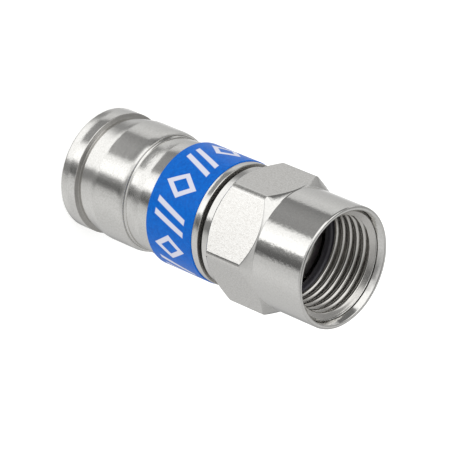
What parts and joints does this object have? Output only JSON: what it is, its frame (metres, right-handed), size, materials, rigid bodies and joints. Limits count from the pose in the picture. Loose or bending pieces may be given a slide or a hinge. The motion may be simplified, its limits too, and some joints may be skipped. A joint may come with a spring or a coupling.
{
  "type": "f connector",
  "caption": "Compression coaxial plug: a swivel hex nut with an internal thread on a plated body with a blue band, and a rear sleeve that slides forward to grip the cable.",
  "frame": {"origin": "centre of the rear face of the open compression sleeve, which is the lowest face as it stands", "axes": "+Z along the connector's axis, from the cable entry to the mouth of the nut; one flat of the hex faces -Y"},
  "size_m": [0.0128, 0.0112, 0.0288],
  "materials": {
    "nickel_bright": "nickel plated, bright turned",
    "nickel_satin": "nickel plated, satin turned",
    "blue_plastic": "semi-gloss, moulded",
    "white_plastic": "matte, moulded",
    "black_rubber": "matte, moulded"
  },
  "bodies": {
    "body": {"connector_body": "nickel_satin", "inner_post": "nickel_bright", "colour_band": "blue_plastic", "nut_seal": "black_rubber"},
    "nut": {"coupling_nut": "nickel_bright", "face_seal": "black_rubber"},
    "sleeve": {"compression_sleeve": "nickel_satin", "gripping_ring": "white_plastic"}
  },
  "joints": [
    {"name": "nut_swivel", "type": "hinge", "parent": "body", "child": "nut", "pos_m": [0, 0, 0.0202], "axis": [0, 0, 1], "continuous": true},
    {"name": "sleeve_slide", "type": "slide", "parent": "body", "child": "sleeve", "axis": [0, 0, 1], "range_m": [0, 0.00308]}
  ]
}
